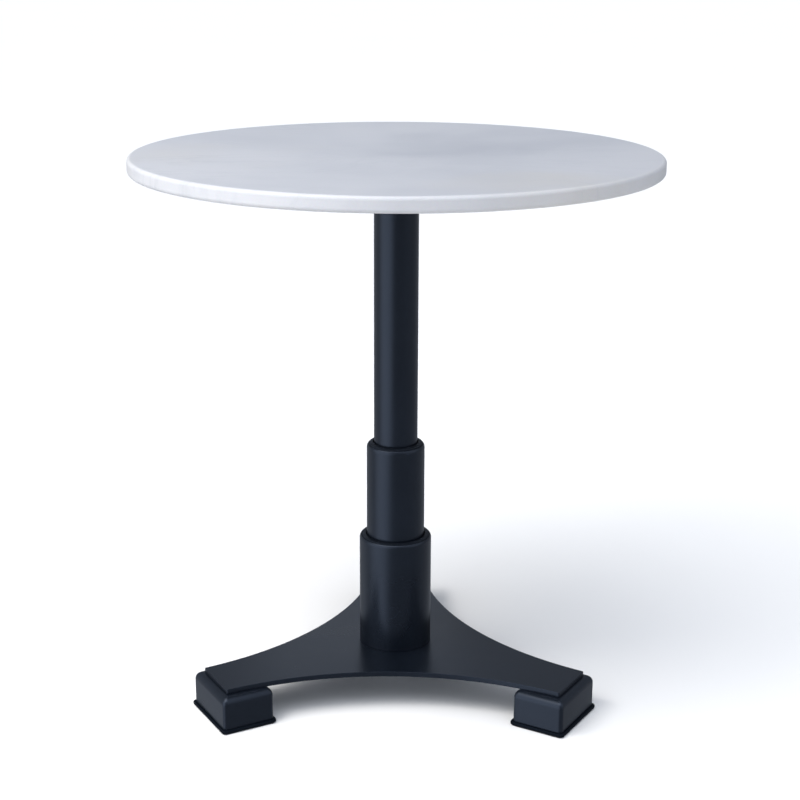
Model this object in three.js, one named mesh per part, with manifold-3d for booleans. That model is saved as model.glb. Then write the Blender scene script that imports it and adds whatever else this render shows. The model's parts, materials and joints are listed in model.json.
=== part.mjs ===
// Bistro table: a round marble top on a stepped steel column, which stands on a three-armed star
// plate with a heavy foot under each arm. Millimetres, +Z up. The origin is on the floor, on the
// axis of the column. One arm points along +Y (the back), the others to the front left and right.
//
// How it comes apart: the tie rod screws into the top plug and pulls the top plate, the upper
// tube and the star plate together with one nut under the star plate. The two sleeves slide over
// the upper tube and stand on the star plate. The marble is screwed down from below.

import * as THREE from 'three';
import { mergeVertices } from 'three/addons/utils/BufferGeometryUtils.js';
import Module from 'manifold-3d';

const wasm = await Module();
wasm.setup();

// ---- driving dimensions ----------------------------------------------------------------------

const tableHeight = 748;
const clearance = 0.3;            // all round, between a piece and the bore that it sits in
const cutterReach = 1;            // how far a cutter passes the face that it cuts through

const marble = { radius: 350, thickness: 20, edgeRadius: 5 };
const bumper = { radius: 12, thickness: 2, distance: 125 };
const topPlate = { radius: 150, thickness: 6 };

const upperTube = { radius: 30, wall: 2.5 };
const middleSleeve = { radius: 40, wall: 2, top: 352, shoulderRadius: 8 };
const lowerSleeve = { radius: 50, wall: 2, top: 218, shoulderRadius: 6 };
const collar = { depth: 22, landHeight: 8, tubeGap: 1.2, seamGap: 0.6 };
const plugHeight = 20;
const locatingRingHeight = 10;

const starPlate = { top: 58, thickness: 7, armLength: 277, armEndWidth: 77 };
const armCount = 3;

const foot = {
  distance: 251,                  // from the column's axis to the middle of the foot
  length: 73,                     // along the arm
  width: 102,                     // across the arm
  topEdgeRadius: 10,
  cornerRadius: 5.5,
  baseLip: 3,                     // the base plate stands this far proud of the block
  basePlateThickness: 4,
  padThickness: 2,
  padInset: 1.5,
};
const counterbore = { radius: 15, height: 18 };
const basePlateScrew = { radius: 2.5, headRadius: 5, length: 16, fromStud: 35 };

// Fasteners, by thread radius: the tie rod M12, the foot studs M10, the top screws M6.
const tieRod = {
  radius: 6,
  nutAcrossFlats: 19,
  nutHeight: 10,
  washerRadius: 22,
  washerThickness: 4,
  topGap: 2,                      // the rod's top stays this far below the top plate
};
const stud = { radius: 5, nutAcrossFlats: 17, nutHeight: 8, washerRadius: 12, washerThickness: 2 };
const topScrew = {
  distance: 125,                  // from the column's axis
  radius: 3,
  length: 18,
  headRadius: 5,
  headHeight: 5,
  washerRadius: 7,
  washerThickness: 1.5,
};
const insert = { radius: 5.5, length: 13, holeDepth: 14 };
const threadReach = 4;            // how far a bolt stands out beyond its nut

// How finely round things are faceted.
const roundSides = { large: 96, medium: 48, hidden: 32, small: 16 };
const arcSteps = 3;
const starSideSteps = 12;

// ---- levels worked out from the dimensions ------------------------------------------------------

const marbleUnderside = tableHeight - marble.thickness;
const topPlateTop = marbleUnderside - bumper.thickness;
const topPlateUnderside = topPlateTop - topPlate.thickness;
const starUnderside = starPlate.top - starPlate.thickness;
const basePlateUnderside = foot.padThickness;
const blockUnderside = basePlateUnderside + foot.basePlateThickness;
const counterboreRoof = blockUnderside + counterbore.height;

// ---- materials ----------------------------------------------------------------------------------

function standardMaterial(color, roughness, metalness) {
  return new THREE.MeshStandardMaterial({ color, roughness, metalness });
}

const stone = () => standardMaterial('#d5d8e0', 0.35, 0);
const powderCoat = () => standardMaterial('#2a2f38', 0.45, 0.3);
const zincSteel = () => standardMaterial('#b4b8bc', 0.35, 1);
const brass = () => standardMaterial('#b98f47', 0.3, 1);
const rubber = () => standardMaterial('#1c1c1d', 0.85, 0);
const blackPlastic = () => standardMaterial('#1b1d21', 0.6, 0);

// ---- geometry helpers ---------------------------------------------------------------------------

const radians = THREE.MathUtils.degToRad;
const point = (x, y) => new THREE.Vector2(x, y);

// Points on an arc in the (radius, height) plane of a turned profile.
function profileArc(centreRadius, centreHeight, radius, fromDegrees, toDegrees) {
  const points = [];
  for (let step = 0; step <= arcSteps; step += 1) {
    const angle = radians(fromDegrees + ((toDegrees - fromDegrees) * step) / arcSteps);
    points.push(point(centreRadius + radius * Math.cos(angle), centreHeight + radius * Math.sin(angle)));
  }
  return points;
}

// A profile of (radius, height) points turned about the Z axis. It runs from the axis to the axis,
// or closes on itself, with the outer side going up.
function turned(profile, sides) {
  const geometry = new THREE.LatheGeometry(profile, sides);
  geometry.rotateX(Math.PI / 2);
  return geometry;
}

function disc(radius, bottom, top, sides) {
  return turned([point(0, bottom), point(radius, bottom), point(radius, top), point(0, top)], sides);
}

function ring(innerRadius, outerRadius, bottom, top, sides) {
  return turned([
    point(innerRadius, bottom),
    point(outerRadius, bottom),
    point(outerRadius, top),
    point(innerRadius, top),
    point(innerRadius, bottom),
  ], sides);
}

// A flat shape in the XY plane, raised from one level to another.
function raised(shape, bottom, top, curveSegments = arcSteps) {
  const depth = top - bottom;
  const geometry = new THREE.ExtrudeGeometry(shape, { depth, bevelEnabled: false, curveSegments });
  geometry.translate(0, 0, bottom);
  return geometry;
}

function roundHole(radius) {
  const hole = new THREE.Path();
  hole.absarc(0, 0, radius, 0, 2 * Math.PI, false);
  return hole;
}

function roundedRectangle(width, height, radius) {
  const x = width / 2 - radius;
  const y = height / 2 - radius;
  const shape = new THREE.Shape();
  shape.absarc(x, y, radius, 0, radians(90), false);
  shape.absarc(-x, y, radius, radians(90), radians(180), false);
  shape.absarc(-x, -y, radius, radians(180), radians(270), false);
  shape.absarc(x, -y, radius, radians(270), radians(360), false);
  shape.closePath();
  return shape;
}

function hexagon(acrossFlats) {
  const shape = new THREE.Shape();
  const cornerRadius = acrossFlats / Math.sqrt(3);
  for (let corner = 0; corner < 6; corner += 1) {
    const angle = radians(60 * corner);
    const x = cornerRadius * Math.cos(angle);
    const y = cornerRadius * Math.sin(angle);
    if (corner === 0) shape.moveTo(x, y);
    else shape.lineTo(x, y);
  }
  shape.closePath();
  return shape;
}

function nut(boreRadius, acrossFlats, bottom, top) {
  const shape = hexagon(acrossFlats);
  shape.holes.push(roundHole(boreRadius));
  return raised(shape, bottom, top, roundSides.small / 2);
}

// Joining and cutting.
function toSolid(geometry) {
  const bare = geometry.clone();
  bare.deleteAttribute('normal');
  bare.deleteAttribute('uv');
  const merged = mergeVertices(bare);
  return new wasm.Manifold(new wasm.Mesh({
    numProp: 3,
    vertProperties: merged.attributes.position.array,
    triVerts: new Uint32Array(merged.index.array),
  }));
}

function toGeometry(solid) {
  const mesh = solid.getMesh();
  const geometry = new THREE.BufferGeometry();
  geometry.setAttribute('position', new THREE.BufferAttribute(new Float32Array(mesh.vertProperties), 3));
  geometry.setIndex(new THREE.BufferAttribute(new Uint32Array(mesh.triVerts), 1));
  geometry.computeVertexNormals();
  return geometry;
}

// ---- the scene graph ------------------------------------------------------------------------------

const table = new THREE.Group();
table.name = 'bistro_table';

function addPiece(parent, name, geometry, material) {
  const mesh = new THREE.Mesh(geometry, material);
  mesh.name = name;
  parent.add(mesh);
}

// A group with its own origin at a distance from the column's axis, turned to an azimuth.
function turnedGroup(azimuthDegrees, distance) {
  const arm = new THREE.Group();
  arm.rotation.z = radians(azimuthDegrees);
  const place = new THREE.Group();
  place.position.x = distance;
  arm.add(place);
  table.add(arm);
  return place;
}

// ---- the top --------------------------------------------------------------------------------------

const topFixings = 4;
const screwAzimuth = (index) => 45 + (360 / topFixings) * index;
const bumperAzimuth = (index) => (360 / topFixings) * index;

// The marble disc, with a blind hole in its underside for each threaded insert.
function marbleTop() {
  const flatRadius = marble.radius - marble.edgeRadius;
  const profile = [
    point(0, marbleUnderside),
    ...profileArc(flatRadius, marbleUnderside + marble.edgeRadius, marble.edgeRadius, -90, 0),
    ...profileArc(flatRadius, tableHeight - marble.edgeRadius, marble.edgeRadius, 0, 90),
    point(0, tableHeight),
  ];
  let solid = toSolid(turned(profile, roundSides.large));
  const holeRadius = insert.radius + clearance;
  const holeRoof = marbleUnderside + insert.holeDepth;
  for (let index = 0; index < topFixings; index += 1) {
    const drill = disc(holeRadius, marbleUnderside - cutterReach, holeRoof, roundSides.small);
    drill.translate(topScrew.distance, 0, 0);
    drill.rotateZ(radians(screwAzimuth(index)));
    solid = solid.subtract(toSolid(drill));
  }
  return toGeometry(solid);
}

function topPlateDisc() {
  let solid = toSolid(disc(topPlate.radius, topPlateUnderside, topPlateTop, roundSides.medium));
  const holeRadius = topScrew.radius + clearance;
  const drillBottom = topPlateUnderside - cutterReach;
  const drillTop = topPlateTop + cutterReach;
  for (let index = 0; index < topFixings; index += 1) {
    const drill = disc(holeRadius, drillBottom, drillTop, roundSides.small);
    drill.translate(topScrew.distance, 0, 0);
    drill.rotateZ(radians(screwAzimuth(index)));
    solid = solid.subtract(toSolid(drill));
  }
  return toGeometry(solid);
}

function topScrewShape() {
  const headTop = topPlateUnderside - topScrew.washerThickness;
  const headBottom = headTop - topScrew.headHeight;
  return turned([
    point(0, headBottom),
    point(topScrew.headRadius, headBottom),
    point(topScrew.headRadius, headTop),
    point(topScrew.radius, headTop),
    point(topScrew.radius, headTop + topScrew.length),
    point(0, headTop + topScrew.length),
  ], roundSides.small);
}

function threadedInsert() {
  const insertTop = marbleUnderside + insert.length;
  return ring(topScrew.radius + clearance, insert.radius, marbleUnderside, insertTop, roundSides.small);
}

function topScrewWasher() {
  const bore = topScrew.radius + clearance;
  const bottom = topPlateUnderside - topScrew.washerThickness;
  return ring(bore, topScrew.washerRadius, bottom, topPlateUnderside, roundSides.small);
}

function rubberBumper() {
  return disc(bumper.radius, topPlateTop, marbleUnderside, roundSides.small);
}

function addTop() {
  addPiece(table, 'marble_top', marbleTop(), stone());
  addPiece(table, 'top_plate', topPlateDisc(), powderCoat());
  for (let index = 0; index < topFixings; index += 1) {
    const number = index + 1;
    const fixing = turnedGroup(screwAzimuth(index), topScrew.distance);
    addPiece(fixing, `threaded_insert_${number}`, threadedInsert(), brass());
    addPiece(fixing, `top_screw_${number}`, topScrewShape(), zincSteel());
    addPiece(fixing, `top_screw_washer_${number}`, topScrewWasher(), zincSteel());
    const bumperPlace = turnedGroup(bumperAzimuth(index), bumper.distance);
    addPiece(bumperPlace, `rubber_bumper_${number}`, rubberBumper(), rubber());
  }
}

// ---- the column -----------------------------------------------------------------------------------

// The shoulder of a sleeve is one quarter arc. The sleeve's wall carries its outer part, and the
// collar in the sleeve's mouth carries the rest, with a hairline seam between the two.
function shoulderArc(sleeve, fromRadius, toRadius) {
  const arcRadius = sleeve.shoulderRadius;
  const centreRadius = sleeve.radius - arcRadius;
  const centreHeight = sleeve.top - arcRadius;
  const angleAt = (radius) => THREE.MathUtils.radToDeg(Math.acos((radius - centreRadius) / arcRadius));
  return profileArc(centreRadius, centreHeight, arcRadius, angleAt(fromRadius), angleAt(toRadius));
}

function sleeveTube(sleeve) {
  const boreRadius = sleeve.radius - sleeve.wall;
  return turned([
    point(boreRadius, starPlate.top),
    point(sleeve.radius, starPlate.top),
    ...shoulderArc(sleeve, sleeve.radius, boreRadius),
    point(boreRadius, starPlate.top),
  ], roundSides.medium);
}

// A collar plugs the mouth of a sleeve. Its bore grips the inner tube only on a low land, and
// stands clear of it above, which leaves the dark gap that shows around the inner tube.
function collarRing(sleeve, innerTubeRadius) {
  const boreRadius = innerTubeRadius + collar.tubeGap;
  const landRadius = innerTubeRadius + clearance;
  const outerRadius = sleeve.radius - sleeve.wall - collar.seamGap;
  const bottom = sleeve.top - collar.depth;
  const landTop = bottom + collar.landHeight;
  return turned([
    point(landRadius, bottom),
    point(outerRadius, bottom),
    ...shoulderArc(sleeve, outerRadius, sleeve.radius - sleeve.shoulderRadius),
    point(boreRadius, sleeve.top),
    point(boreRadius, landTop),
    point(landRadius, landTop),
    point(landRadius, bottom),
  ], roundSides.medium);
}

// A plug fills the end of the upper tube and lets the tie rod through its middle.
function endPlug(bottom) {
  const plugRadius = upperTube.radius - upperTube.wall - clearance;
  return ring(tieRod.radius + clearance, plugRadius, bottom, bottom + plugHeight, roundSides.hidden);
}

function upperTubeShape() {
  const boreRadius = upperTube.radius - upperTube.wall;
  return ring(boreRadius, upperTube.radius, starPlate.top, topPlateUnderside, roundSides.medium);
}

function addColumn() {
  addPiece(table, 'upper_tube', upperTubeShape(), powderCoat());
  addPiece(table, 'top_plug', endPlug(topPlateUnderside - plugHeight), zincSteel());
  addPiece(table, 'base_plug', endPlug(starPlate.top), zincSteel());

  addPiece(table, 'middle_sleeve', sleeveTube(middleSleeve), powderCoat());
  addPiece(table, 'middle_collar', collarRing(middleSleeve, upperTube.radius), blackPlastic());
  addPiece(table, 'middle_locating_ring', locatingRing(middleSleeve, upperTube.radius), blackPlastic());

  addPiece(table, 'lower_sleeve', sleeveTube(lowerSleeve), powderCoat());
  addPiece(table, 'lower_collar', collarRing(lowerSleeve, middleSleeve.radius), blackPlastic());
  addPiece(table, 'lower_locating_ring', locatingRing(lowerSleeve, middleSleeve.radius), blackPlastic());
}

// A flat ring on the star plate that keeps the foot of a sleeve centred on the tube inside it.
function locatingRing(sleeve, innerTubeRadius) {
  return ring(innerTubeRadius + clearance, sleeve.radius - sleeve.wall - clearance,
    starPlate.top, starPlate.top + locatingRingHeight, roundSides.hidden);
}

function addTieRod() {
  const washerBottom = starUnderside - tieRod.washerThickness;
  const nutBottom = washerBottom - tieRod.nutHeight;
  const rodBottom = nutBottom - threadReach;
  const rodTop = topPlateUnderside - tieRod.topGap;
  const rod = disc(tieRod.radius, rodBottom, rodTop, roundSides.small);
  const bore = tieRod.radius + clearance;
  const washer = ring(bore, tieRod.washerRadius, washerBottom, starUnderside, roundSides.hidden);
  addPiece(table, 'tie_rod', rod, zincSteel());
  addPiece(table, 'tie_rod_washer', washer, zincSteel());
  addPiece(table, 'tie_rod_nut', nut(bore, tieRod.nutAcrossFlats, nutBottom, washerBottom), zincSteel());
}

// ---- the star plate -------------------------------------------------------------------------------

// The back arm first, then the left one, then the right one.
function armAzimuth(arm) {
  return 90 + (360 / armCount) * arm;
}

// Each side between two arms is one concave arc. Its centre lies on the line that halves the
// angle between the arms, level with the arm ends, so the arc leaves each arm end parallel to
// the arm.
function starPlateShape() {
  const halfWidth = starPlate.armEndWidth / 2;
  const arcCentreDistance = 2 * starPlate.armLength;
  const arcRadius = Math.sqrt(3) * starPlate.armLength - halfWidth;
  const shape = new THREE.Shape();
  for (let arm = 0; arm < armCount; arm += 1) {
    const azimuth = armAzimuth(arm);
    const bisector = radians(azimuth + 180 / armCount);
    const x = arcCentreDistance * Math.cos(bisector);
    const y = arcCentreDistance * Math.sin(bisector);
    shape.absarc(x, y, arcRadius, radians(azimuth - 90), radians(azimuth - 150), true);
  }
  shape.closePath();
  shape.holes.push(roundHole(tieRod.radius + clearance));
  return shape;
}

function addStarPlate() {
  const plate = raised(starPlateShape(), starUnderside, starPlate.top, starSideSteps);
  addPiece(table, 'star_plate', plate, powderCoat());
}

// ---- the feet -------------------------------------------------------------------------------------

// A rectangle in the plane of one side of the block, with its two upper corners rounded. It
// reaches below the block, so that only the top is shaped by it.
function roundedTopProfile(width) {
  const side = width / 2;
  const radius = foot.topEdgeRadius;
  const shape = new THREE.Shape();
  shape.moveTo(-side, blockUnderside - cutterReach);
  shape.lineTo(side, blockUnderside - cutterReach);
  shape.absarc(side - radius, starUnderside - radius, radius, 0, radians(90), false);
  shape.absarc(radius - side, starUnderside - radius, radius, radians(90), radians(180), false);
  shape.closePath();
  return shape;
}

// The block, its upper edges rounded, bored for the stud and counterbored from below for the nut.
function footBlock() {
  const reach = foot.width;
  const outline = roundedRectangle(foot.length, foot.width, foot.cornerRadius);
  const plan = raised(outline, blockUnderside, starUnderside);
  const alongArm = raised(roundedTopProfile(foot.length), -reach, reach);
  alongArm.rotateX(Math.PI / 2);
  const acrossArm = raised(roundedTopProfile(foot.width), -reach, reach);
  acrossArm.rotateX(Math.PI / 2);
  acrossArm.rotateZ(Math.PI / 2);
  const studBore = stud.radius + clearance;
  const bore = turned([
    point(0, blockUnderside - cutterReach),
    point(counterbore.radius, blockUnderside - cutterReach),
    point(counterbore.radius, counterboreRoof),
    point(studBore, counterboreRoof),
    point(studBore, starUnderside + cutterReach),
    point(0, starUnderside + cutterReach),
  ], roundSides.small);
  let solid = toSolid(plan).intersect(toSolid(alongArm)).intersect(toSolid(acrossArm));
  solid = solid.subtract(toSolid(bore));
  for (const side of [-1, 1]) {
    const drill = disc(basePlateScrew.radius + clearance, blockUnderside - cutterReach,
      blockUnderside + basePlateScrew.length, roundSides.small);
    drill.translate(0, side * basePlateScrew.fromStud, 0);
    solid = solid.subtract(toSolid(drill));
  }
  return toGeometry(solid);
}

// A countersunk screw, from the underside of the base plate up into the block.
function countersunkScrew(extraRadius) {
  const headHeight = basePlateScrew.headRadius - basePlateScrew.radius;
  return turned([
    point(0, basePlateUnderside),
    point(basePlateScrew.headRadius + extraRadius, basePlateUnderside),
    point(basePlateScrew.radius + extraRadius, basePlateUnderside + headHeight),
    point(basePlateScrew.radius + extraRadius, basePlateUnderside + basePlateScrew.length),
    point(0, basePlateUnderside + basePlateScrew.length),
  ], roundSides.small);
}

function footBasePlate() {
  const outline = roundedRectangle(foot.length + 2 * foot.baseLip, foot.width + 2 * foot.baseLip,
    foot.cornerRadius);
  let solid = toSolid(raised(outline, basePlateUnderside, blockUnderside));
  for (const side of [-1, 1]) {
    const drill = countersunkScrew(clearance);
    drill.translate(0, side * basePlateScrew.fromStud, 0);
    solid = solid.subtract(toSolid(drill));
  }
  return toGeometry(solid);
}

function footPad() {
  const shrink = 2 * (foot.baseLip - foot.padInset);
  const outline = roundedRectangle(foot.length + shrink, foot.width + shrink, foot.cornerRadius);
  return raised(outline, 0, basePlateUnderside);
}

function addFoot(side, azimuthDegrees) {
  const place = turnedGroup(azimuthDegrees, foot.distance);
  const washerBottom = counterboreRoof - stud.washerThickness;
  const nutBottom = washerBottom - stud.nutHeight;
  const studShape = disc(stud.radius, nutBottom - threadReach, starUnderside, roundSides.small);
  const bore = stud.radius + clearance;
  const washer = ring(bore, stud.washerRadius, washerBottom, counterboreRoof, roundSides.small);
  const nutShape = nut(bore, stud.nutAcrossFlats, nutBottom, washerBottom);
  addPiece(place, `${side}_foot_block`, footBlock(), powderCoat());
  addPiece(place, `${side}_foot_base_plate`, footBasePlate(), blackPlastic());
  addPiece(place, `${side}_foot_pad`, footPad(), rubber());
  addPiece(place, `${side}_foot_stud`, studShape, zincSteel());
  addPiece(place, `${side}_foot_washer`, washer, zincSteel());
  addPiece(place, `${side}_foot_nut`, nutShape, zincSteel());
  for (const [label, direction] of [['inner', -1], ['outer', 1]]) {
    const screw = countersunkScrew(0);
    screw.translate(0, direction * basePlateScrew.fromStud, 0);
    addPiece(place, `${side}_foot_${label}_screw`, screw, zincSteel());
  }
}

addTop();
addColumn();
addTieRod();
addStarPlate();
['back', 'left', 'right'].forEach((side, arm) => addFoot(side, armAzimuth(arm)));

export default table;
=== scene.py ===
"""Bistro table: the fine surfaces, materials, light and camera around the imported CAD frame.

Everything is in metres, in the frame of the CAD model: the origin is on the floor on the column's
axis, +Z is up, and one arm of the star plate points along +Y, away from the camera.
"""

import json
import math

import bpy
from mathutils import Matrix, Vector


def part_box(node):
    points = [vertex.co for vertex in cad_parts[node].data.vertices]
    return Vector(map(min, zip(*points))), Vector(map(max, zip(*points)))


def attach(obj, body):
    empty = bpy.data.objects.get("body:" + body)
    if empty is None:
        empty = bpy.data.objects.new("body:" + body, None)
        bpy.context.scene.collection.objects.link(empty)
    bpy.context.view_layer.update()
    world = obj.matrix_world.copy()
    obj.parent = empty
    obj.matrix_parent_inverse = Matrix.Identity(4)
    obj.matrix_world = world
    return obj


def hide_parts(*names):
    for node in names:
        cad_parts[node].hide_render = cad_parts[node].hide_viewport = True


MM = 0.001

# ---- fine details that the CAD model leaves plain, in millimetres ---------------------------------

CLEARANCE = 0.3                   # between a piece and the bore it sits in, as in the CAD model
MARBLE_EDGE_RADIUS = 5.0
# Painted light on the marble's rim: how wide the lightened band is, and how far it fades in.
RIM_PAINTED_LIGHT_WIDTH = 6.0
RIM_PAINTED_LIGHT_FADE = 4.0
BUMPER_RADIUS = 12.0
BUMPER_EDGE_RADIUS = 0.6
TUBE_WALL = 2.5
SLEEVE_WALL = 2.0
MIDDLE_SHOULDER_RADIUS = 8.0
LOWER_SHOULDER_RADIUS = 6.0
COLLAR_TUBE_GAP = 1.2
COLLAR_SEAM_GAP = 0.6
COLLAR_LAND_HEIGHT = 8.0
RIM_RADIUS = 0.35
SEAM_SWEEP = 60.0                 # degrees of rounding on a collar's edge at its seam
SLEEVE_FOOT_CHAMFER = 0.4
TUBE_END_RADIUS = 0.5
PLATE_EDGE_RADIUS = 0.5
ARM_END_WIDTH = 77.0
ARM_CORNER_RADIUS = 2.0
ROD_HOLE_RADIUS = 6.3
TOP_PLATE_EDGE_RADIUS = 1.0
BLOCK_TOP_RADIUS = 10.0
BLOCK_CORNER_RADIUS = 5.5
LOWER_CORNER_SHARE = 0.7          # of a corner's radius, kept all along the rounded lower edge
UPPER_CORNER_SHARE = 0.6          # the same along the upper edge
UPPER_CORNER_RATE = 0.3           # how fast a corner tightens along the upper edge
BLOCK_FOOT_RADIUS = 0.6
COUNTERBORE_RADIUS = 15.0
COUNTERBORE_HEIGHT = 18.0
STUD_BORE_RADIUS = 5.3
GLIDE_EDGE_RADIUS = 1.2
PAD_EDGE_RADIUS = 0.5
NUT_ACROSS_FLATS = 19.0
NUT_FACE_SHARE = 0.97             # the round face of a nut, as a share of its width across flats
NUT_CHAMFER_ANGLE = 30.0
NUT_BORE_CHAMFER = 0.8
ROUNDING_SPARE = 0.01             # lets the last step of the nut's chamfer pass its corners
LARGE_WASHER_EDGE_RADIUS = 0.5
THREAD_PITCH = 1.75
THREAD_DEPTH = 0.9
THREAD_PAST_NUT = 4.0
THREAD_RUNOUT = 1.0
SOCKET_ACROSS_FLATS = 5.0
SOCKET_DEPTH = 2.8
SOCKET_CHAMFER_HEIGHT = 0.25
SOCKET_MOUTH_SHARE = 1.22         # the socket's round mouth, as a share of its width across flats
SCREW_HEAD_RADIUS = 5.0
SCREW_HEAD_HEIGHT = 5.0
SCREW_HEAD_EDGE_RADIUS = 0.7
SCREW_RADIUS = 3.0
SCREW_TIP_CHAMFER = 0.6
WASHER_BORE_RADIUS = 3.3
WASHER_RADIUS = 7.0
WASHER_EDGE_RADIUS = 0.3

# The arms of the star plate and the feet under them, by azimuth in degrees from +X.
ARM_AZIMUTHS = {"back": 90, "left": 210, "right": 330}

# How finely round things are divided.
LARGE_SIDES = 320
TUBE_SIDES = 160
SMALL_SIDES = 72
ARC_STEPS = 8
RIM_STEPS = 4
SEAM_STEPS = 3
PLATE_EDGE_STEPS = 5
ARM_CORNER_STEPS = 6
STAR_SIDE_STEPS = 64
NUT_CHAMFER_STEPS = 6
STEPS_PER_THREAD_TURN = 10

# How far from an edge, in millimetres, a loop of points keeps the smooth shading of the face flat.
SHADING_MARGIN = 0.2

# Edges that turn by more than this many degrees are shaded sharp.
SHARP_ANGLE = 35.0
THREAD_SHARP_ANGLE = 25.0

# ---- the frame ------------------------------------------------------------------------------------

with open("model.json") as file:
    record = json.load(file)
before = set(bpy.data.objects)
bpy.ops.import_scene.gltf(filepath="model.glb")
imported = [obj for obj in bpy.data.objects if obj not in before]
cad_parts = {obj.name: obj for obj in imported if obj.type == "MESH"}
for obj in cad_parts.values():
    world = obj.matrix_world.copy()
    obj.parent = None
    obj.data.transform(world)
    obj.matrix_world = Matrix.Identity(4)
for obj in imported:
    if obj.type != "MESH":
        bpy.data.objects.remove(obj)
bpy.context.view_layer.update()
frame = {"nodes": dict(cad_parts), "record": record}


def levels(node):
    """The lowest and highest level of a CAD node, in millimetres."""
    low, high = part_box(node)
    return low.z / MM, high.z / MM


def outer_radius(node):
    """The radius of an upright round CAD node, in millimetres."""
    low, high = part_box(node)
    return (high.x - low.x) / 2 / MM


# ---- outlines and profiles, in millimetres --------------------------------------------------------


def arc(centre, radius, start, end, steps=ARC_STEPS):
    """Points on an arc, from one angle to another, in degrees."""
    points = []
    for step in range(steps + 1):
        angle = math.radians(start + (end - start) * step / steps)
        points.append((centre[0] + radius * math.cos(angle), centre[1] + radius * math.sin(angle)))
    return points


def filleted(corners, steps=ARC_STEPS // 2):
    """A closed outline from corners (x, y, radius), each corner rounded by its radius."""
    outline = []
    count = len(corners)
    for index, (x, y, radius) in enumerate(corners):
        here = Vector((x, y))
        if radius <= 0:
            outline.append((x, y))
            continue
        to_last = (Vector(corners[index - 1][:2]) - here).normalized()
        to_next = (Vector(corners[(index + 1) % count][:2]) - here).normalized()
        half = to_last.angle(to_next) / 2
        reach = radius / math.tan(half)
        centre = here + (to_last + to_next).normalized() * radius / math.sin(half)
        start = here + to_last * reach - centre
        end = here + to_next * reach - centre
        sweep = start.angle_signed(end)
        for step in range(steps + 1):
            turn = Matrix.Rotation(-sweep * step / steps, 2)
            point = centre + turn @ start
            outline.append((point.x, point.y))
    return outline


def rounded_rectangle(half_x, half_y, radius, steps=ARC_STEPS):
    """An outline of a rectangle centred on the origin, counter-clockwise, with round corners."""
    outline = []
    for quarter, (x, y) in enumerate(((1, 1), (-1, 1), (-1, -1), (1, -1))):
        centre = (x * (half_x - radius), y * (half_y - radius))
        outline += arc(centre, radius, 90 * quarter, 90 * quarter + 90, steps)
    return outline


def edge_round(radius, steps=ARC_STEPS):
    """(inset, height below the face) pairs of a rounded edge, from the side to the face.

    The first and the last lie a little way along the side and the face, which keeps both shaded flat.
    """
    pairs = [(0.0, radius + SHADING_MARGIN)]
    for step in range(steps + 1):
        angle = math.radians(90 * step / steps)
        pairs.append((radius * (1 - math.cos(angle)), radius * (1 - math.sin(angle))))
    pairs.append((radius + SHADING_MARGIN, 0.0))
    return pairs


def flat_sided(profile):
    """A closed profile with a point near both ends of each long side, which keeps the side shaded flat."""
    points = []
    for index, corner in enumerate(profile):
        here = Vector(corner)
        side = Vector(profile[(index + 1) % len(profile)]) - here
        points.append(corner)
        if side.length > 4 * SHADING_MARGIN:
            margin = side.normalized() * SHADING_MARGIN
            points.append(tuple(here + margin))
            points.append(tuple(here + side - margin))
    return points


# ---- meshes from loops ----------------------------------------------------------------------------


def at_level(outline, level):
    """A flat outline in millimetres, placed at a level, as points in metres."""
    return [Vector((x * MM, y * MM, level * MM)) for x, y in outline]


def circle(radius, level, sides):
    """A round loop about the Z axis."""
    return at_level(arc((0, 0), radius, 0, 360, sides)[:-1], level)


def projected_circle(outline, radius, level):
    """A round loop with one point towards each point of an outline."""
    loop = [Vector(point).normalized() * radius for point in outline]
    return at_level(loop, level)


def mesh_from_loops(name, loops, ring=False, sharp_angle=SHARP_ANGLE):
    """A closed mesh through a row of loops with equally many points each.

    A ring joins its last loop to its first. Otherwise a face closes each end.
    """
    count = len(loops[0])
    vertices = [point for loop in loops for point in loop]
    bands = len(loops) if ring else len(loops) - 1
    faces = []
    for band in range(bands):
        lower = band * count
        upper = (band + 1) % len(loops) * count
        for side in range(count):
            after = (side + 1) % count
            faces.append((lower + side, lower + after, upper + after, upper + side))
    if not ring:
        last = (len(loops) - 1) * count
        faces.append(tuple(reversed(range(count))))
        faces.append(tuple(last + side for side in range(count)))
    mesh = bpy.data.meshes.new(name)
    mesh.from_pydata(vertices, [], faces)
    mesh.polygons.foreach_set("use_smooth", [True] * len(faces))
    mesh.set_sharp_from_angle(angle=math.radians(sharp_angle))
    mesh.validate()
    return mesh


def add_piece(name, mesh, material, slot, *nodes):
    """A shown piece that rides on the table and stands for one or more CAD nodes."""
    piece = bpy.data.objects.new(name, mesh)
    bpy.context.scene.collection.objects.link(piece)
    mesh.materials.append(material)
    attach(piece, "root")
    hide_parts(*nodes)
    return piece


def turned_ring(name, corners, sides=TUBE_SIDES):
    """A ring turned about the Z axis from a closed profile of (radius, level) points."""
    loops = [circle(radius, level, sides) for radius, level in flat_sided(corners)]
    return mesh_from_loops(name, loops, ring=True)


def moved(mesh, azimuth, distance):
    """The mesh taken out to a distance from the column's axis, at an azimuth in degrees."""
    turn = Matrix.Rotation(math.radians(azimuth), 4, "Z")
    mesh.transform(turn @ Matrix.Translation((distance * MM, 0, 0)))
    return mesh


# ---- materials ------------------------------------------------------------------------------------


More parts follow.
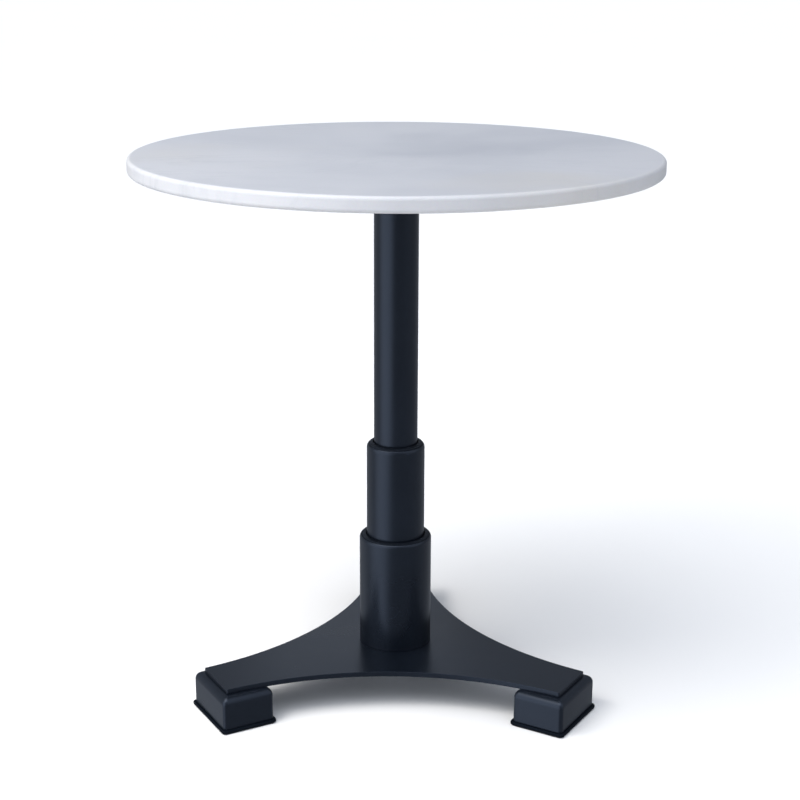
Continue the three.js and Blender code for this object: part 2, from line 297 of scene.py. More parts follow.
class Nodes:
    """A material's node tree, with short ways to add and link nodes."""

    def __init__(self, name):
        self.material = bpy.data.materials.new(name)
        self.material.use_nodes = True
        self.tree = self.material.node_tree
        self.shader = next(n for n in self.tree.nodes if n.type == "BSDF_PRINCIPLED")
        coordinates = self.tree.nodes.new("ShaderNodeTexCoord")
        self.place = coordinates.outputs["Object"]

    def link(self, value, socket):
        """Sets a socket from another socket, a number or a colour."""
        if isinstance(value, bpy.types.NodeSocket):
            self.tree.links.new(value, socket)
        else:
            socket.default_value = value

    def mapped(self, scale, offset=(0, 0, 0), turn=(0, 0, 0)):
        """Object coordinates, stretched, turned and shifted."""
        node = self.tree.nodes.new("ShaderNodeMapping")
        self.link(self.place, node.inputs["Vector"])
        node.inputs["Scale"].default_value = scale
        node.inputs["Location"].default_value = offset
        node.inputs["Rotation"].default_value = [math.radians(angle) for angle in turn]
        return node.outputs["Vector"]

    def noise(self, scale, detail=4.0, roughness=0.5, distortion=0.0, vector=None):
        node = self.tree.nodes.new("ShaderNodeTexNoise")
        self.link(vector or self.place, node.inputs["Vector"])
        node.inputs["Scale"].default_value = scale
        node.inputs["Detail"].default_value = detail
        node.inputs["Roughness"].default_value = roughness
        node.inputs["Distortion"].default_value = distortion
        return node

    def ramp(self, value, *stops):
        """A colour ramp through (position, colour) stops."""
        node = self.tree.nodes.new("ShaderNodeValToRGB")
        self.link(value, node.inputs["Fac"])
        elements = node.color_ramp.elements
        while len(elements) < len(stops):
            elements.new(0.5)
        for element, (position, colour) in zip(elements, stops):
            element.position = position
            element.color = (*colour, 1.0) if len(colour) == 3 else colour
        return node.outputs["Color"]

    def scaled(self, value, low, high, to_low, to_high):
        """A value moved from one range to another, held at the ends."""
        node = self.tree.nodes.new("ShaderNodeMapRange")
        self.link(value, node.inputs["Value"])
        node.inputs["From Min"].default_value = low
        node.inputs["From Max"].default_value = high
        node.inputs["To Min"].default_value = to_low
        node.inputs["To Max"].default_value = to_high
        return node.outputs["Result"]

    def distance_from_axis(self):
        """How far a point is from the column's axis, in metres."""
        flat = self.tree.nodes.new("ShaderNodeVectorMath")
        flat.operation = "MULTIPLY"
        self.link(self.place, flat.inputs[0])
        flat.inputs[1].default_value = (1.0, 1.0, 0.0)
        length = self.tree.nodes.new("ShaderNodeVectorMath")
        length.operation = "LENGTH"
        self.link(flat.outputs["Vector"], length.inputs[0])
        return length.outputs["Value"]

    def math(self, operation, first, second=0.0):
        node = self.tree.nodes.new("ShaderNodeMath")
        node.operation = operation
        self.link(first, node.inputs[0])
        self.link(second, node.inputs[1])
        return node.outputs["Value"]

    def mix(self, factor, first, second, blend="MIX"):
        node = self.tree.nodes.new("ShaderNodeMix")
        node.data_type = "RGBA"
        node.blend_type = blend
        self.link(factor, node.inputs["Factor"])
        for value, name in ((first, "A"), (second, "B")):
            socket = next(s for s in node.inputs if s.name == name and s.type == "RGBA")
            if isinstance(value, tuple) and len(value) == 3:
                value = (*value, 1.0)
            self.link(value, socket)
        return next(s for s in node.outputs if s.type == "RGBA")

    def bump(self, height, strength, distance, normal=None):
        """Bump from a height, with its full depth as a distance in millimetres."""
        node = self.tree.nodes.new("ShaderNodeBump")
        self.link(height, node.inputs["Height"])
        node.inputs["Strength"].default_value = strength
        node.inputs["Distance"].default_value = distance * MM
        if normal is not None:
            self.link(normal, node.inputs["Normal"])
        return node.outputs["Normal"]

    def finish(self, **values):
        """Sets the shader's sockets by name, with underscores for spaces."""
        for name, value in values.items():
            if isinstance(value, tuple) and len(value) == 3:
                value = (*value, 1.0)
            self.link(value, self.shader.inputs[name.replace("_", " ")])
        return self.material


# Colours are linear red, green and blue.
BLUISH_GLOSS = (0.71, 0.81, 1.0)      # tints the sheen of the dark finishes
POWDER_COAT_COLOUR = (0.0035, 0.0052, 0.0085)
POWDER_COAT_ROUGHNESS = 0.29
PLASTIC_DARKER = (0.0025, 0.0037, 0.0062)
PLASTIC_LIGHTER = (0.0045, 0.0064, 0.0100)
RUBBER_DARKER = (0.010, 0.010, 0.011)
RUBBER_LIGHTER = (0.022, 0.021, 0.020)
ZINC_COLOUR = (0.58, 0.60, 0.62)
BRASS_COLOUR = (0.62, 0.45, 0.20)
TOOL_MARK_STRETCH = (1.0, 1.0, 0.15)
FLOOR_DARKER = (0.975, 0.950, 0.915)
FLOOR_LIGHTER = (0.985, 0.960, 0.925)
MARBLE_CLOUD = (0.386, 0.395, 0.427)
MARBLE_BODY = (0.446, 0.452, 0.479)
MARBLE_LIGHT = (0.488, 0.489, 0.509)
MARBLE_WARM_PATCH = (0.445, 0.430, 0.410)
MARBLE_VEIN = (0.32, 0.335, 0.365)
MARBLE_RIM_PAINTED_LIGHT = (1.17, 1.15, 1.11)  # painted light: makes the rim lighter than the face, standing in for the light that falls on it

# Where the large clouds lie: offset, stretch and turn of one noise, searched for by rendering many
# random sets and keeping the one closest to the photograph's brightness.
CLOUD_SCALE = 2.0
CLOUD_STRETCH = (1.0, 1.1, 1.0)
CLOUD_OFFSET = (0.75, 5.25, 1.72)
CLOUD_TURN = (0, 0, -10)


def marble_material():
    """White marble with soft grey-blue clouds, faint warm patches and a honed face, with painted light
    that lightens its rim.
    """
    n = Nodes("marble")
    vein_areas = n.noise(scale=2.6, detail=3.0, roughness=0.55)
    cloud_place = n.mapped(CLOUD_STRETCH, CLOUD_OFFSET, CLOUD_TURN)
    clouds = n.noise(CLOUD_SCALE, detail=6.0, roughness=0.56, distortion=0.9, vector=cloud_place)
    body = n.ramp(clouds.outputs["Fac"], (0.30, MARBLE_CLOUD), (0.48, MARBLE_BODY), (0.70, MARBLE_LIGHT))
    warm_place = n.mapped(scale=(1.0, 1.0, 1.0), offset=(5.2, 0.4, 2.0))
    warm = n.noise(scale=3.1, detail=4.0, roughness=0.5, distortion=0.4, vector=warm_place)
    warm_share = n.scaled(warm.outputs["Fac"], 0.52, 0.74, 0.0, 0.60)
    tinted = n.mix(warm_share, body, MARBLE_WARM_PATCH)
    vein_place = n.mapped(scale=(1.0, 2.0, 1.0), offset=(1.1, 3.0, 0.7), turn=(0, 0, -35))
    folds = n.noise(scale=3.4, detail=7.0, roughness=0.62, distortion=1.6, vector=vein_place)
    from_fold = n.math("ABSOLUTE", n.math("SUBTRACT", folds.outputs["Fac"], 0.5))
    thin_line = n.scaled(from_fold, 0.0, 0.035, 0.32, 0.0)
    vein = n.math("MULTIPLY", thin_line, n.scaled(vein_areas.outputs["Fac"], 0.45, 0.65, 0.0, 1.0))
    veined = n.mix(vein, tinted, MARBLE_VEIN)
    grain = n.noise(scale=420.0, detail=2.0, roughness=0.6)
    speckled = n.mix(0.06, veined, grain.outputs["Color"], "OVERLAY")
    roughness = n.scaled(clouds.outputs["Fac"], 0.3, 0.7, 0.36, 0.44)
    wave = n.noise(scale=9.0, detail=2.0, roughness=0.4)
    normal = n.bump(wave.outputs["Fac"], 0.25, 0.05, n.bump(grain.outputs["Fac"], 0.25, 0.01))
    # Painted light: a band along the rim is lightened, standing in for the light that falls on the edge.
    painted_light_start = (outer_radius("marble_top") - RIM_PAINTED_LIGHT_WIDTH) * MM
    rim = n.scaled(n.distance_from_axis(), painted_light_start, painted_light_start + RIM_PAINTED_LIGHT_FADE * MM, 0.0, 1.0)
    with_painted_rim_light = n.mix(rim, speckled, n.mix(1.0, speckled, MARBLE_RIM_PAINTED_LIGHT, "MULTIPLY"))
    return n.finish(Base_Color=with_painted_rim_light, Roughness=roughness, Normal=normal, IOR=1.5)


def powder_coat_material(name, colour, roughness):
    """Satin powder coat: a fine orange peel, faint mottling in tone and in gloss."""
    n = Nodes(name)
    peel = n.noise(scale=620.0, detail=2.0, roughness=0.5)
    broad = n.noise(scale=9.0, detail=4.0, roughness=0.55)
    dust = n.noise(scale=160.0, detail=5.0, roughness=0.6)
    lighter = tuple(channel * 1.25 for channel in colour)
    darker = tuple(channel * 0.82 for channel in colour)
    tone = n.ramp(broad.outputs["Fac"], (0.3, darker), (0.7, lighter))
    specks = n.scaled(dust.outputs["Fac"], 0.62, 0.80, 0.0, 0.12)
    dusty = n.mix(specks, tone, tuple(channel * 2.2 for channel in colour))
    gloss = n.scaled(broad.outputs["Fac"], 0.3, 0.7, roughness - 0.03, roughness + 0.04)
    normal = n.bump(peel.outputs["Fac"], 0.35, 0.02)
    return n.finish(Base_Color=dusty, Roughness=gloss, Normal=normal, Specular_Tint=BLUISH_GLOSS)


def plastic_material(name, shine):
    """Fine-grained black moulded plastic, with more or less shine."""
    n = Nodes(name)
    grain = n.noise(scale=900.0, detail=3.0, roughness=0.6)
    broad = n.noise(scale=14.0, detail=3.0, roughness=0.5)
    tone = n.ramp(broad.outputs["Fac"], (0.3, PLASTIC_DARKER), (0.7, PLASTIC_LIGHTER))
    gloss = n.scaled(grain.outputs["Fac"], 0.3, 0.7, 0.5, 0.62)
    normal = n.bump(grain.outputs["Fac"], 0.3, 0.03)
    return n.finish(
        Base_Color=tone,
        Roughness=gloss,
        Normal=normal,
        Specular_IOR_Level=shine,
        Specular_Tint=BLUISH_GLOSS,
    )


def rubber_material():
    """Matt black rubber, faintly dusty."""
    n = Nodes("rubber")
    grain = n.noise(scale=500.0, detail=4.0, roughness=0.65)
    dust = n.noise(scale=40.0, detail=5.0, roughness=0.6)
    tone = n.ramp(dust.outputs["Fac"], (0.4, RUBBER_DARKER), (0.75, RUBBER_LIGHTER))
    gloss = n.scaled(dust.outputs["Fac"], 0.3, 0.7, 0.78, 0.9)
    normal = n.bump(grain.outputs["Fac"], 0.4, 0.05)
    return n.finish(Base_Color=tone, Roughness=gloss, Normal=normal)


def metal_material(name, colour, roughness):
    """Plated or turned metal: fine tool marks and a mottled shine."""
    n = Nodes(name)
    marks = n.noise(scale=300.0, detail=3.0, vector=n.mapped(TOOL_MARK_STRETCH))
    mottle = n.noise(scale=60.0, detail=4.0, roughness=0.6)
    darker = tuple(channel * 0.8 for channel in colour)
    tone = n.ramp(mottle.outputs["Fac"], (0.35, darker), (0.65, colour))
    gloss = n.scaled(mottle.outputs["Fac"], 0.3, 0.7, roughness - 0.06, roughness + 0.10)
    normal = n.bump(marks.outputs["Fac"], 0.25, 0.02)
    return n.finish(Base_Color=tone, Roughness=gloss, Normal=normal, Metallic=1.0)


def floor_material():
    """The studio floor: pale, matt and plain."""
    n = Nodes("studio_floor")
    broad = n.noise(scale=1.5, detail=2.0, roughness=0.5)
    tone = n.ramp(broad.outputs["Fac"], (0.3, FLOOR_DARKER), (0.7, FLOOR_LIGHTER))
    return n.finish(Base_Color=tone, Roughness=0.9, Specular_IOR_Level=0.2)


marble = marble_material()
powder_coat = powder_coat_material("powder_coat", POWDER_COAT_COLOUR, POWDER_COAT_ROUGHNESS)
collar_plastic = plastic_material("collar_plastic", shine=0.35)
glide_plastic = plastic_material("glide_plastic", shine=0.06)
rubber = rubber_material()
zinc_steel = metal_material("zinc_steel", ZINC_COLOUR, roughness=0.34)
brass = metal_material("brass", BRASS_COLOUR, roughness=0.30)

# ---- the top --------------------------------------------------------------------------------------


def disc_loops(radius, bottom, top, edge_radius, sides, inner_rings=4):
    """Loops of a solid disc with rounded edges, from the middle of its underside to that of its top."""
    loops = []
    flat = radius - edge_radius
    for ring in range(1, inner_rings + 1):
        loops.append(circle(flat * ring / (inner_rings + 1), bottom, sides))
    rounded = edge_round(edge_radius)
    for inset, below in reversed(rounded):
        loops.append(circle(radius - inset, bottom + below, sides))
    for inset, below in rounded:
        loops.append(circle(radius - inset, top - below, sides))
    for ring in range(inner_rings, 0, -1):
        loops.append(circle(flat * ring / (inner_rings + 1), top, sides))
    return loops


def disc_mesh(name, node, edge_radius, sides):
    bottom, top = levels(node)
    return mesh_from_loops(name, disc_loops(outer_radius(node), bottom, top, edge_radius, sides))


def make_marble_top():
    mesh = disc_mesh("marble_slab", "marble_top", MARBLE_EDGE_RADIUS, LARGE_SIDES)
    add_piece("marble_slab", mesh, marble, "marble", "marble_top")


def make_top_plate():
    mesh = disc_mesh("top_plate_disc", "top_plate", TOP_PLATE_EDGE_RADIUS, TUBE_SIDES)
    add_piece("top_plate_disc", mesh, powder_coat, "powder_coat", "top_plate")


def hexagon_radius(across_flats, angle):
    """How far a hexagon reaches from its middle at an angle, in radians."""
    from_flat = (angle + math.pi / 6) % (math.pi / 3) - math.pi / 6
    return across_flats / 2 / math.cos(from_flat)


def hexagon_loop(across_flats, level, limit=math.inf):
    """A hexagonal loop, its corners cut back where they pass a round limit."""
    outline = []
    for side in range(SMALL_SIDES):
        angle = 2 * math.pi * side / SMALL_SIDES
        radius = min(hexagon_radius(across_flats, angle), limit)
        outline.append((radius * math.cos(angle), radius * math.sin(angle)))
    return at_level(outline, level)


def socket_screw_mesh(name, bottom, top):
    """A screw that points up, with a hexagonal socket in the underside of its round head."""
    head_top = bottom + SCREW_HEAD_HEIGHT
    sides = SMALL_SIDES
    loops = [hexagon_loop(SOCKET_ACROSS_FLATS, bottom + SOCKET_DEPTH)]
    loops.append(hexagon_loop(SOCKET_ACROSS_FLATS, bottom + SOCKET_CHAMFER_HEIGHT))
    loops.append(circle(SOCKET_ACROSS_FLATS / 2 * SOCKET_MOUTH_SHARE, bottom, sides))
    for inset, below in reversed(edge_round(SCREW_HEAD_EDGE_RADIUS)):
        loops.append(circle(SCREW_HEAD_RADIUS - inset, bottom + below, sides))
    loops.append(circle(SCREW_HEAD_RADIUS, head_top, sides))
    loops.append(circle(SCREW_RADIUS, head_top, sides))
    loops.append(circle(SCREW_RADIUS, top - SCREW_TIP_CHAMFER, sides))
    loops.append(circle(SCREW_RADIUS - SCREW_TIP_CHAMFER, top, sides))
    return mesh_from_loops(name, loops)


def rounded_section(inner, outer, bottom, top, edge):
    """The profile of a ring with four rounded edges."""
    return filleted([(inner, bottom, edge), (outer, bottom, edge), (outer, top, edge), (inner, top, edge)])


def node_place(node):
    """The azimuth in degrees and the distance in millimetres of a CAD node's middle."""
    low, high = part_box(node)
    middle = (low + high) / 2
    return math.degrees(math.atan2(middle.y, middle.x)), math.hypot(middle.x, middle.y) / MM


def make_top_fixings():
    for number in range(1, 5):
        screw = f"top_screw_{number}"
        mesh = socket_screw_mesh(f"socket_screw_{number}", *levels(screw))
        moved(mesh, *node_place(screw))
        add_piece(f"socket_screw_{number}", mesh, zinc_steel, "zinc_steel", screw)

        washer = f"top_screw_washer_{number}"
        section = rounded_section(WASHER_BORE_RADIUS, WASHER_RADIUS, *levels(washer), WASHER_EDGE_RADIUS)
        mesh = turned_ring(f"plain_washer_{number}", section, SMALL_SIDES)
        moved(mesh, *node_place(washer))
        add_piece(f"plain_washer_{number}", mesh, zinc_steel, "zinc_steel", washer)

        bumper = f"rubber_bumper_{number}"
        loops = disc_loops(BUMPER_RADIUS, *levels(bumper), BUMPER_EDGE_RADIUS, SMALL_SIDES, inner_rings=1)
        mesh = mesh_from_loops(f"bumper_pad_{number}", loops)
        moved(mesh, *node_place(bumper))
        add_piece(f"bumper_pad_{number}", mesh, rubber, "rubber", bumper)


# ---- the column -----------------------------------------------------------------------------------


def shoulder_angle(sleeve_radius, shoulder_radius, radius):
    """The angle, in degrees, at which a shoulder's quarter arc reaches a radius."""
    return math.degrees(math.acos((radius - (sleeve_radius - shoulder_radius)) / shoulder_radius))


def make_upper_tube():
    radius = outer_radius("upper_tube")
    section = rounded_section(radius - TUBE_WALL, radius, *levels("upper_tube"), TUBE_END_RADIUS)
    add_piece("column_tube", turned_ring("column_tube", section), powder_coat, "powder_coat", "upper_tube")


def make_sleeve(name, node, collar, shoulder_radius):
    """A sleeve, its rim rounded over by the outer part of the shoulder's arc."""
    bottom, _ = levels(node)
    _, shoulder_top = levels(collar)
    radius = outer_radius(node)
    bore = radius - SLEEVE_WALL
    rim = RIM_RADIUS
    seam = shoulder_angle(radius, shoulder_radius, bore + rim)
    centre = (radius - shoulder_radius, shoulder_top - shoulder_radius)
    shoulder = arc(centre, shoulder_radius, 0, seam)
    rim_level = shoulder[-1][1]
    chamfer = SLEEVE_FOOT_CHAMFER
    profile = [(bore, bottom), (radius - chamfer, bottom), (radius, bottom + chamfer)]
    profile += shoulder
    profile += arc((bore + rim, rim_level - rim), rim, 90, 180, RIM_STEPS)[1:]
    add_piece(name, turned_ring(name, profile), powder_coat, "powder_coat", node)


def make_collar(name, node, sleeve, inner_radius, shoulder_radius):
    """The domed ring in a sleeve's mouth: the inner part of the shoulder, and the bore."""
    bottom, top = levels(node)
    radius = outer_radius(sleeve)
    outside = radius - SLEEVE_WALL - COLLAR_SEAM_GAP
    bore = inner_radius + COLLAR_TUBE_GAP
    land = inner_radius + CLEARANCE
    land_top = bottom + COLLAR_LAND_HEIGHT
    rim = RIM_RADIUS
    centre = (radius - shoulder_radius, top - shoulder_radius)
    seam = shoulder_angle(radius, shoulder_radius, outside - rim)
    dome = arc(centre, shoulder_radius, seam, 90)
    profile = [(land, bottom), (outside, bottom)]
    profile += arc((outside - rim, dome[0][1] - rim), rim, 0, SEAM_SWEEP, SEAM_STEPS)
    profile += dome
    profile += arc((bore + rim, top - rim), rim, 90, 180, RIM_STEPS)
    profile += [(bore, land_top), (land, land_top)]
    add_piece(name, turned_ring(name, profile), collar_plastic, "black_plastic", node)


def make_column():
    tube = outer_radius("upper_tube")
    middle = outer_radius("middle_sleeve")
    make_upper_tube()
    make_sleeve("middle_sleeve_tube", "middle_sleeve", "middle_collar", MIDDLE_SHOULDER_RADIUS)
    make_collar("middle_collar_ring", "middle_collar", "middle_sleeve", tube, MIDDLE_SHOULDER_RADIUS)
    make_sleeve("lower_sleeve_tube", "lower_sleeve", "lower_collar", LOWER_SHOULDER_RADIUS)
    make_collar("lower_collar_ring", "lower_collar", "lower_sleeve", middle, LOWER_SHOULDER_RADIUS)


# ---- the star plate and what holds it ---------------------------------------------------------------


def star_outline(arm_length, inset=0.0):
    """The star plate's outline, drawn in by an inset: three arms, and an arc between each two.

    An arc's centre lies outside the plate, halfway between two arms, at twice an arm's length.
    """
    half_width = ARM_END_WIDTH / 2
    corner = ARM_CORNER_RADIUS
    arc_radius = math.sqrt(3) * arm_length - half_width + inset
    trim = math.degrees(corner / arc_radius)
    outline = []
    for azimuth in ARM_AZIMUTHS.values():
        along = Vector((math.cos(math.radians(azimuth)), math.sin(math.radians(azimuth))))
        across = along.orthogonal()
        if along.x * across.y - along.y * across.x < 0:
            across = -across
        for side, start in ((-1, -90), (1, 0)):
            centre = along * (arm_length - corner) + across * side * (half_width - corner)
            outline += arc(centre, corner - inset, azimuth + start, azimuth + start + 90, ARM_CORNER_STEPS)
        bisector = math.radians(azimuth + 60)
        centre = (2 * arm_length * math.cos(bisector), 2 * arm_length * math.sin(bisector))
        hollow = arc(centre, arc_radius, azimuth - 90 - trim, azimuth - 150 + trim, STAR_SIDE_STEPS)
        outline += hollow[1:-1]
    return outline


def make_star_plate():
    bottom, top = levels("star_plate")
    arm_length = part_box("star_plate")[1].y / MM
    rounded = edge_round(PLATE_EDGE_RADIUS, PLATE_EDGE_STEPS)
    loops = []
    for inset, below in reversed(rounded):
        loops.append(at_level(star_outline(arm_length, inset), bottom + below))
    for inset, below in rounded:
        loops.append(at_level(star_outline(arm_length, inset), top - below))
    plain = star_outline(arm_length)
    for level in (top, bottom):
        loops.append(projected_circle(plain, ROD_HOLE_RADIUS, level))
    mesh = mesh_from_loops("star_base_plate", loops, ring=True)
    add_piece("star_base_plate", mesh, powder_coat, "powder_coat", "star_plate")


def thread_loops(radius, bottom, top, thread_top):
    """Loops of a rod whose lower end carries a helical thread that starts shallow at its tip."""
    loops = []
    sides = SMALL_SIDES
    steps = int((thread_top - bottom) / THREAD_PITCH * STEPS_PER_THREAD_TURN)
    for step in range(steps + 1):
        level = bottom + (thread_top - bottom) * step / steps
        taper = min(1.0, (level - bottom) / THREAD_PITCH)
        outline = []
        for side in range(sides):
            phase = (level / THREAD_PITCH - side / sides) % 1.0
            cut = THREAD_DEPTH * (1 - abs(2 * phase - 1))
            reach = min(radius - cut, radius - THREAD_DEPTH + THREAD_DEPTH * taper)
            angle = 2 * math.pi * side / sides
            outline.append((reach * math.cos(angle), reach * math.sin(angle)))
        loops.append(at_level(outline, level))
    loops.append(circle(radius, thread_top + THREAD_RUNOUT, sides))
    loops.append(circle(radius, top, sides))
    return loops


def nut_mesh(name, bore, bottom, top):
    """A hexagon nut with chamfered corners on both faces."""
    flats = NUT_ACROSS_FLATS
    corner = flats / math.sqrt(3)
    face = flats / 2 * NUT_FACE_SHARE
    chamfer_height = (corner - face) * math.tan(math.radians(NUT_CHAMFER_ANGLE))
    chamfer = []
    for step in range(NUT_CHAMFER_STEPS + 1):
        share = step / NUT_CHAMFER_STEPS
        chamfer.append((face + (corner + ROUNDING_SPARE - face) * share, chamfer_height * share))
    loops = [circle(bore + NUT_BORE_CHAMFER, bottom, SMALL_SIDES)]
    loops += [hexagon_loop(flats, bottom + rise, limit) for limit, rise in chamfer]
    loops += [hexagon_loop(flats, top - rise, limit) for limit, rise in reversed(chamfer)]
    loops.append(circle(bore + NUT_BORE_CHAMFER, top, SMALL_SIDES))
    loops.append(circle(bore, top - NUT_BORE_CHAMFER, SMALL_SIDES))
    loops.append(circle(bore, bottom + NUT_BORE_CHAMFER, SMALL_SIDES))
    return mesh_from_loops(name, loops, ring=True)


def make_tie_rod():
    rod_bottom, rod_top = levels("tie_rod")
    nut_bottom, nut_top = levels("tie_rod_nut")
    radius = outer_radius("tie_rod")
    bore = radius + CLEARANCE
    loops = thread_loops(radius, rod_bottom, rod_top, nut_top + THREAD_PAST_NUT)
    rod = mesh_from_loops("threaded_tie_rod", loops, sharp_angle=THREAD_SHARP_ANGLE)
    add_piece("threaded_tie_rod", rod, zinc_steel, "zinc_steel", "tie_rod")
    nut = nut_mesh("hex_nut", bore, nut_bottom, nut_top)
    add_piece("hex_nut", nut, zinc_steel, "zinc_steel", "tie_rod_nut")
    outer = outer_radius("tie_rod_washer")
    section = rounded_section(bore, outer, *levels("tie_rod_washer"), LARGE_WASHER_EDGE_RADIUS)
    washer = turned_ring("large_washer", section)
    add_piece("large_washer", washer, zinc_steel, "zinc_steel", "tie_rod_washer")


# ---- the feet -------------------------------------------------------------------------------------


def foot_size(part):
    """Half length along the arm, half width across it, and distance out, from the back foot."""
    low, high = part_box(f"back_foot_{part}")
    return (high.y - low.y) / 2 / MM, (high.x - low.x) / 2 / MM, (high.y + low.y) / 2 / MM


def slab_loops(half_x, half_y, bottom, top, lower_radius, upper_radius):
    """Loops of a rectangular slab with round corners and rounded lower and upper edges.

    The corners grow tighter along a rounded edge, but keep most of their radius.
    """
    corner = BLOCK_CORNER_RADIUS
    loops = []
    for inset, below in reversed(edge_round(lower_radius)):
        tighter = max(corner - inset, corner * LOWER_CORNER_SHARE)
        outline = rounded_rectangle(half_x - inset, half_y - inset, tighter)
        loops.append(at_level(outline, bottom + below))
    for inset, below in edge_round(upper_radius):
        tighter = max(corner - inset * UPPER_CORNER_RATE, corner * UPPER_CORNER_SHARE)
        outline = rounded_rectangle(half_x - inset, half_y - inset, tighter)
        loops.append(at_level(outline, top - below))
    return loops


def foot_block_mesh(name):
    """The block, bored for its stud and counterbored from below."""
    half_x, half_y, distance = foot_size("block")
    bottom, top = levels("back_foot_block")
    loops = slab_loops(half_x, half_y, bottom, top, BLOCK_FOOT_RADIUS, BLOCK_TOP_RADIUS)
    outline = rounded_rectangle(half_x, half_y, BLOCK_CORNER_RADIUS)
    roof = bottom + COUNTERBORE_HEIGHT
    loops.append(projected_circle(outline, STUD_BORE_RADIUS, top))
    loops.append(projected_circle(outline, STUD_BORE_RADIUS, roof))
    loops.append(projected_circle(outline, COUNTERBORE_RADIUS, roof))
    loops.append(projected_circle(outline, COUNTERBORE_RADIUS, bottom))
    return mesh_from_loops(name, loops, ring=True), distance


def foot_slab_mesh(name, part, lower_radius, upper_radius):
    """A flat piece under the block: the glide plate or the floor pad."""
    half_x, half_y, distance = foot_size(part)
    bottom, top = levels(f"back_foot_{part}")
    loops = slab_loops(half_x, half_y, bottom, top, lower_radius, upper_radius)
    return mesh_from_loops(name, loops), distance


def make_foot(side, azimuth):
    block = f"{side}_block"
    mesh, distance = foot_block_mesh(block)
    moved(mesh, azimuth, distance)
    add_piece(block, mesh, powder_coat, "powder_coat", f"{side}_foot_block")

    glide = f"{side}_glide_plate"
    mesh, distance = foot_slab_mesh(glide, "base_plate", GLIDE_EDGE_RADIUS / 2, GLIDE_EDGE_RADIUS)
    moved(mesh, azimuth, distance)
    add_piece(glide, mesh, glide_plastic, "black_plastic", f"{side}_foot_base_plate")

    pad = f"{side}_floor_pad"
    mesh, distance = foot_slab_mesh(pad, "pad", PAD_EDGE_RADIUS, PAD_EDGE_RADIUS / 2)
    moved(mesh, azimuth, distance)
    add_piece(pad, mesh, rubber, "rubber", f"{side}_foot_pad")


# ---- the CAD pieces -------------------------------------------------------------------------------


def finish_cad_nodes():
    """Gives every CAD node the material of its slot, as those that nothing replaces are shown."""
    by_slot = {
        "marble": marble,
        "powder_coat": powder_coat,
        "black_plastic": collar_plastic,
        "zinc_steel": zinc_steel,
        "brass": brass,
        "rubber": rubber,
    }
    for part in frame["record"]["subparts"]:
        node = frame["nodes"][part["node"]]
        node.data.materials.clear()
        node.data.materials.append(by_slot[part["material_slot"]])


# ---- the studio -----------------------------------------------------------------------------------

# In metres and degrees; the lens is in millimetres.
CAMERA_DISTANCE = 2.152
CAMERA_HEIGHT = 1.0427
CAMERA_AZIMUTH = 0.86
CAMERA_PITCH = 16.36
CAMERA_HEADING = 0.71
CAMERA_ROLL = 0.23
CAMERA_LENS = 73.8
CAMERA_RANGE = 400.0
FLOOR_SIZE = 160.0


def make_camera():
    """Stands in front and slightly to the right, and looks a little down."""
    data = bpy.data.cameras.new("camera")
    data.lens = CAMERA_LENS
    data.clip_end = CAMERA_RANGE
    camera = bpy.data.objects.new("camera", data)
    azimuth = math.radians(CAMERA_AZIMUTH)
    place = (CAMERA_DISTANCE * math.sin(azimuth), -CAMERA_DISTANCE * math.cos(azimuth), CAMERA_HEIGHT)
    heading = Matrix.Rotation(math.radians(CAMERA_HEADING), 4, "Z")
    pitch = Matrix.Rotation(math.radians(90 - CAMERA_PITCH), 4, "X")
    roll = Matrix.Rotation(math.radians(CAMERA_ROLL), 4, "Z")
    camera.matrix_world = Matrix.Translation(place) @ heading @ pitch @ roll
    bpy.context.scene.collection.objects.link(camera)
    bpy.context.scene.camera = camera


def make_floor():
    half = FLOOR_SIZE / 2
    corners = [(-half, -half, 0), (half, -half, 0), (half, half, 0), (-half, half, 0)]
    mesh = bpy.data.meshes.new("floor")
    mesh.from_pydata(corners, [], [(0, 1, 2, 3)])
    mesh.materials.append(floor_material())
    floor = bpy.data.objects.new("floor", mesh)
    floor.visible_glossy = False
    bpy.context.scene.collection.objects.link(floor)


# The studio is a room of soft panels that are far away, so that the whole floor is lit alike. Two
# softboxes near the table add to them.
# Each panel: azimuth from the front, left being negative, and elevation of its middle, in degrees,
# the angles from its middle where it starts to fade and has faded, its brightness and its colour.
COOL = (0.88, 0.96, 1.10)
NEUTRAL = (1.0, 0.985, 0.96)
PANELS = {
    "key": (-60, 62, 10, 36, 2.20, NEUTRAL),
    "front": (0, 66, 5, 34, 1.90, COOL),
    "low_left": (-53, 6, 18, 50, 1.38, COOL),
    "side_left": (-118, 4, 12, 36, 0.12, COOL),
    "under_left": (-114, -50, 8, 32, 0.56, COOL),
    "right": (66, 30, 10, 44, 0.55, COOL),
}
ROOM_BRIGHTNESS = 0.30
BACKDROP_COLOUR = (1.0, 1.0, 1.0)


def direction(azimuth, elevation):
    """A unit vector, from an azimuth measured from the front towards the right, and an elevation."""
    across = math.cos(math.radians(elevation))
    turn = math.radians(azimuth)
    return (across * math.sin(turn), -across * math.cos(turn), math.sin(math.radians(elevation)))


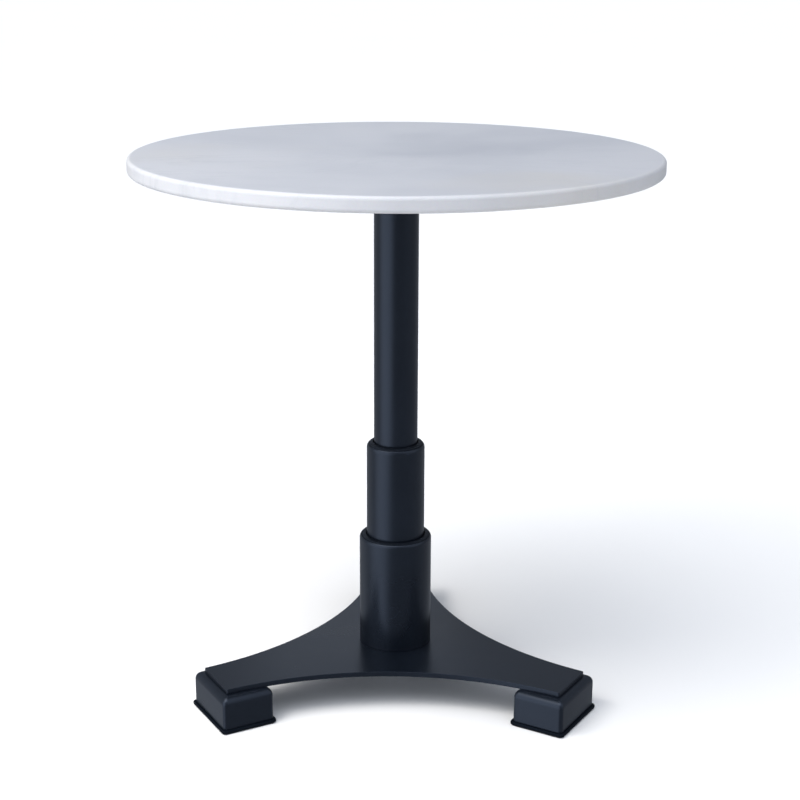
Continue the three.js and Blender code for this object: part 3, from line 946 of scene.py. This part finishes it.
def make_world():
    """The room of panels, and a plain white backdrop where the camera sees past the floor."""
    world = bpy.data.worlds.new("studio")
    world.use_nodes = True
    tree = world.node_tree

    def vector_math(operation, first, second, second_input=1):
        node = tree.nodes.new("ShaderNodeVectorMath")
        node.operation = operation
        for value, socket in ((first, node.inputs[0]), (second, node.inputs[second_input])):
            if isinstance(value, tuple):
                socket.default_value = value
            else:
                tree.links.new(value, socket)
        return node

    towards = tree.nodes.new("ShaderNodeTexCoord").outputs["Generated"]
    total = tuple(channel * ROOM_BRIGHTNESS for channel in COOL)
    for azimuth, elevation, full, faded, brightness, colour in PANELS.values():
        nearness = vector_math("DOT_PRODUCT", towards, direction(azimuth, elevation))
        fade = tree.nodes.new("ShaderNodeMapRange")
        fade.interpolation_type = "SMOOTHSTEP"
        fade.inputs["From Min"].default_value = math.cos(math.radians(faded))
        fade.inputs["From Max"].default_value = math.cos(math.radians(full))
        fade.inputs["To Max"].default_value = brightness
        tree.links.new(nearness.outputs["Value"], fade.inputs["Value"])
        scale = vector_math("SCALE", colour, fade.outputs["Result"], 3)
        total = vector_math("ADD", scale.outputs["Vector"], total).outputs["Vector"]
    room = tree.nodes["Background"]
    tree.links.new(total, room.inputs["Color"])

    backdrop = tree.nodes.new("ShaderNodeBackground")
    backdrop.inputs["Color"].default_value = (*BACKDROP_COLOUR, 1.0)
    seen = tree.nodes.new("ShaderNodeLightPath")
    choice = tree.nodes.new("ShaderNodeMixShader")
    tree.links.new(seen.outputs["Is Camera Ray"], choice.inputs["Fac"])
    tree.links.new(room.outputs["Background"], choice.inputs[1])
    tree.links.new(backdrop.outputs["Background"], choice.inputs[2])
    tree.links.new(choice.outputs["Shader"], tree.nodes["World Output"].inputs["Surface"])
    bpy.context.scene.world = world


def add_softbox(name, place, target, size, brightness, colour):
    """A square soft light near the table. At a brightness of one it shines like a white wall."""
    data = bpy.data.lights.new(name, "AREA")
    data.size = size
    data.energy = brightness * math.pi * size * size
    data.color = colour
    light = bpy.data.objects.new(name, data)
    light.location = place
    light.rotation_mode = "QUATERNION"
    light.rotation_quaternion = (Vector(target) - Vector(place)).to_track_quat("-Z", "Y")
    light.visible_camera = False
    bpy.context.scene.collection.objects.link(light)
    return light


def make_softboxes():
    key = add_softbox(
        "key_softbox",
        place=(-1.0, -0.7, 1.9),
        target=(0.0, 0.0, 0.7),
        size=1.0,
        brightness=6.0,
        colour=NEUTRAL,
    )
    key.visible_glossy = False
    add_softbox(
        "back_softbox",
        place=(-0.10, 1.0, 0.52),
        target=(0.0, 0.0, 0.10),
        size=0.42,
        brightness=0.30,
        colour=COOL,
    )


make_camera()
make_marble_top()
make_top_plate()
make_top_fixings()
make_column()
make_star_plate()
make_tie_rod()
for foot_side, foot_azimuth in ARM_AZIMUTHS.items():
    make_foot(foot_side, foot_azimuth)
finish_cad_nodes()
make_floor()
make_world()
make_softboxes()
bpy.context.scene.view_settings.view_transform = "Standard"
